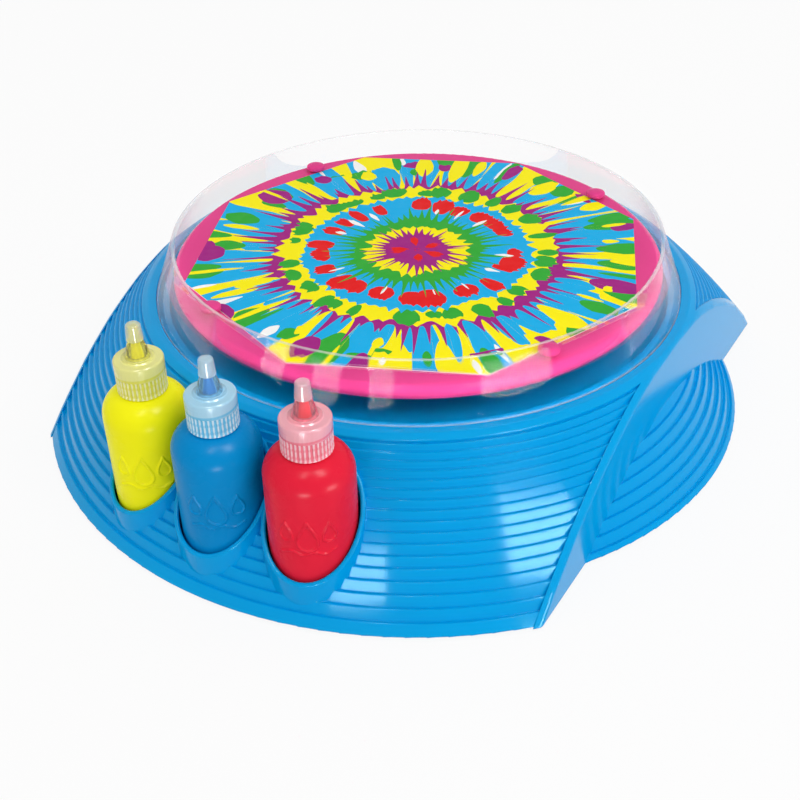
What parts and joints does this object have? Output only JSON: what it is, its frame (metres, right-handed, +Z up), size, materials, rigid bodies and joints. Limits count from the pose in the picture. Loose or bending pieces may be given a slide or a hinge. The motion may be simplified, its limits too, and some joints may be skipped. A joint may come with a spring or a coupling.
{
  "type": "spin art machine",
  "caption": "Battery spin art toy: a card spins on a turntable inside a clear splash guard, on a ribbed conical base with cups for squeeze bottles of paint.",
  "frame": {"origin": "on the spindle axis at the level of the table that the feet stand on", "axes": "+Z up along the spindle, -Y towards the user, +X to the user's right; the bottle cups are at the front left"},
  "size_m": [0.3164, 0.3258, 0.0902],
  "materials": {
    "shell_blue": "injection moulded, glossy, stepped ribs",
    "underside_blue": "moulded, fine texture",
    "guard_clear": "clear polished plastic",
    "tray_pink": "glossy moulded",
    "card": "white card with spun paint",
    "steel": "bright drawn",
    "bush_nylon": "natural nylon",
    "gear_white": "natural acetal",
    "motor_case": "plated drawn can",
    "screw_steel": "zinc plated",
    "contact_metal": "nickel plated strip",
    "cell_wrap": "plain sleeve with a bright end",
    "lead_red": "vinyl insulation",
    "lead_black": "vinyl insulation",
    "foot_rubber": "matt moulded",
    "switch_black": "moulded",
    "button_pink": "glossy moulded",
    "bottle_red": "squeeze bottle, soft glossy plastic",
    "paint_red": "wet paint",
    "cap_red": "clear tinted plastic, fine grip ribs",
    "bottle_blue": "squeeze bottle, soft glossy plastic",
    "paint_blue": "wet paint",
    "cap_blue": "clear tinted plastic, fine grip ribs",
    "bottle_yellow": "squeeze bottle, soft glossy plastic",
    "paint_yellow": "wet paint",
    "cap_yellow": "clear tinted plastic, fine grip ribs"
  },
  "bodies": {
    "base": {"base_shell": "shell_blue", "bottom_plate": "underside_blue", "base_screws": "screw_steel", "rubber_feet": "foot_rubber", "upper_bush": "bush_nylon", "lower_bush": "bush_nylon", "motor_can": "motor_case", "motor_bracket": "underside_blue", "bracket_screws": "screw_steel", "battery_cells": "cell_wrap", "contact_plates": "contact_metal", "contact_springs": "contact_metal", "power_switch": "switch_black", "battery_motor_lead": "lead_black", "battery_switch_lead": "lead_red", "switch_motor_lead": "lead_red"},
    "turntable": {"turntable_tray": "tray_pink", "paper_pegs": "tray_pink", "spin_card": "card", "hub_screw": "screw_steel", "spindle_shaft": "steel", "shaft_clip": "steel", "spindle_gear": "gear_white"},
    "motor_rotor": {"motor_shaft": "steel", "motor_pinion": "contact_metal"},
    "guard": {"splash_guard": "guard_clear"},
    "button": {"power_button": "button_pink"},
    "door": {"battery_door": "underside_blue", "door_screw": "screw_steel"},
    "bottle_red_body": {"bottle_red": "bottle_red", "paint_red": "paint_red"},
    "nozzle_red_body": {"nozzle_cap_red": "cap_red"},
    "tip_red_body": {"tip_cap_red": "cap_red"},
    "bottle_blue_body": {"bottle_blue": "bottle_blue", "paint_blue": "paint_blue"},
    "nozzle_blue_body": {"nozzle_cap_blue": "cap_blue"},
    "tip_blue_body": {"tip_cap_blue": "cap_blue"},
    "bottle_yellow_body": {"bottle_yellow": "bottle_yellow", "paint_yellow": "paint_yellow"},
    "nozzle_yellow_body": {"nozzle_cap_yellow": "cap_yellow"},
    "tip_yellow_body": {"tip_cap_yellow": "cap_yellow"}
  },
  "joints": [
    {"name": "turntable_spin", "type": "hinge", "parent": "base", "child": "turntable", "pos_m": [0, 0, 0], "axis": [0, 0, 1], "continuous": true},
    {"name": "motor_spin", "type": "hinge", "parent": "base", "child": "motor_rotor", "pos_m": [0.0079, 0.02948, 0], "axis": [0, 0, 1], "continuous": true},
    {"name": "guard_lift", "type": "slide", "parent": "base", "child": "guard", "axis": [0, 0, 1], "range_m": [0, 0.06]},
    {"name": "power_press", "type": "slide", "parent": "base", "child": "button", "axis": [0.8634, -0.5045, 0], "range_m": [0, 0.0025], "stiffness_N_per_m": 500, "springref_m": -0.002},
    {"name": "battery_door_drop", "type": "slide", "parent": "base", "child": "door", "axis": [0, 0, -1], "range_m": [0, 0.03]},
    {"name": "bottle_red_lift", "type": "slide", "parent": "base", "child": "bottle_red_body", "axis": [0, 0, 1], "range_m": [0, 0.09]},
    {"name": "nozzle_red_lift", "type": "slide", "parent": "bottle_red_body", "child": "nozzle_red_body", "axis": [0, 0, 1], "range_m": [0, 0.03]},
    {"name": "tip_red_pull", "type": "slide", "parent": "nozzle_red_body", "child": "tip_red_body", "axis": [0, 0, 1], "range_m": [0, 0.014]},
    {"name": "bottle_blue_lift", "type": "slide", "parent": "base", "child": "bottle_blue_body", "axis": [0, 0, 1], "range_m": [0, 0.09]},
    {"name": "nozzle_blue_lift", "type": "slide", "parent": "bottle_blue_body", "child": "nozzle_blue_body", "axis": [0, 0, 1], "range_m": [0, 0.03]},
    {"name": "tip_blue_pull", "type": "slide", "parent": "nozzle_blue_body", "child": "tip_blue_body", "axis": [0, 0, 1], "range_m": [0, 0.014]},
    {"name": "bottle_yellow_lift", "type": "slide", "parent": "base", "child": "bottle_yellow_body", "axis": [0, 0, 1], "range_m": [0, 0.09]},
    {"name": "nozzle_yellow_lift", "type": "slide", "parent": "bottle_yellow_body", "child": "nozzle_yellow_body", "axis": [0, 0, 1], "range_m": [0, 0.03]},
    {"name": "tip_yellow_pull", "type": "slide", "parent": "nozzle_yellow_body", "child": "tip_yellow_body", "axis": [0, 0, 1], "range_m": [0, 0.014]}
  ],
  "couplings": [
    {"joint": "motor_spin", "follows": "turntable_spin", "ratio": -5.3333}
  ]
}
